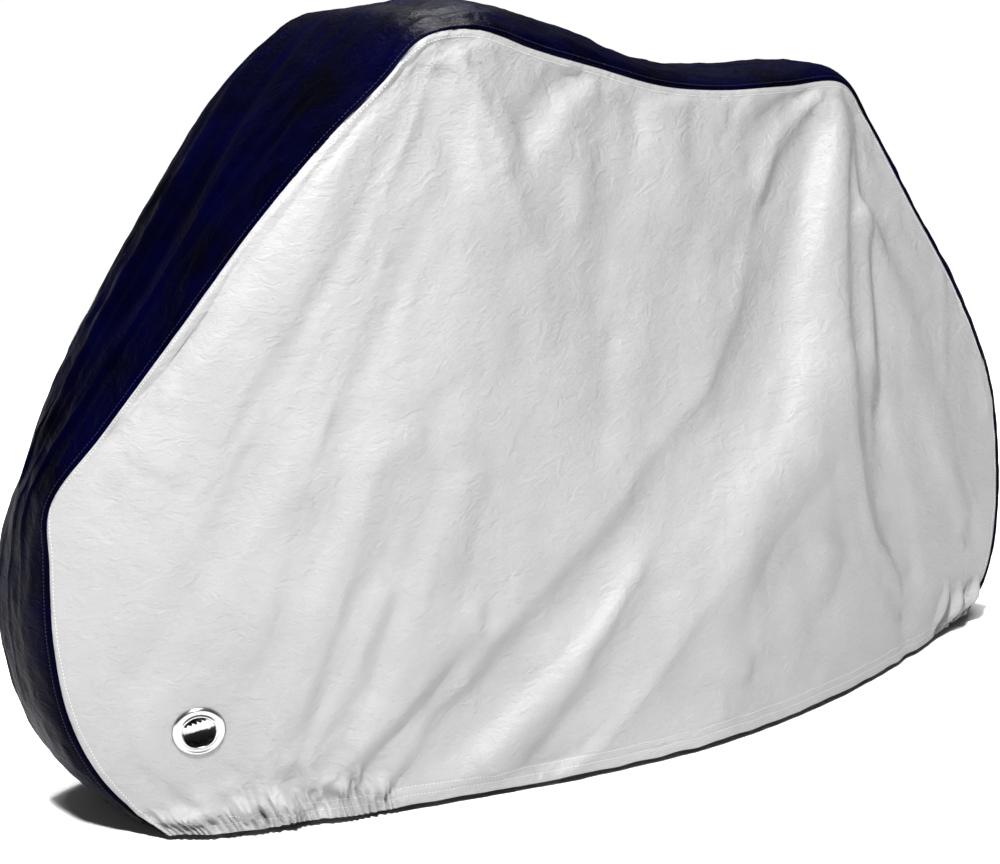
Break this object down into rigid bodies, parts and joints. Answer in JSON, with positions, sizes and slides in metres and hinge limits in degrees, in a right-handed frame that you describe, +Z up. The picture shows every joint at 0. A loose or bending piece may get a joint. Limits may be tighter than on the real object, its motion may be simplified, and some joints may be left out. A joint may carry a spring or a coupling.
{
  "type": "bicycle cover",
  "caption": "Fitted cloth cover for an upright bicycle: silver side panels, dark centre panel, elastic front and rear hems and a metal eyelet in each side for a lock.",
  "frame": {"origin": "the point under the top of the cover, over the handlebar stem, where the covered bicycle carries it", "axes": "+X to the rear of the bicycle, +Y to its right, +Z up"},
  "size_m": [1.734, 0.5752, 1.0896],
  "materials": {
    "silver_cloth": "silver polyurethane-coated polyester plain weave, slightly glossy, finely crinkled",
    "dark_cloth": "black to navy coated polyester plain weave, faint sheen",
    "eyelet_metal": "bright plated brass, polished"
  },
  "bodies": {
    "root": {"centre_panel_front": "dark_cloth", "centre_panel_bar": "dark_cloth", "centre_panel_saddle": "dark_cloth", "centre_panel_rear": "dark_cloth", "side_panel_left_front": "silver_cloth", "side_panel_left_middle": "silver_cloth", "side_panel_left_rear": "silver_cloth", "side_panel_right_front": "silver_cloth", "side_panel_right_middle": "silver_cloth", "side_panel_right_rear": "silver_cloth", "eyelet_strip_left": "silver_cloth", "eyelet_strip_right": "silver_cloth", "eyelet_left": "eyelet_metal", "eyelet_right": "eyelet_metal", "eyelet_washer_left": "eyelet_metal", "eyelet_washer_right": "eyelet_metal"}
  },
  "joints": []
}
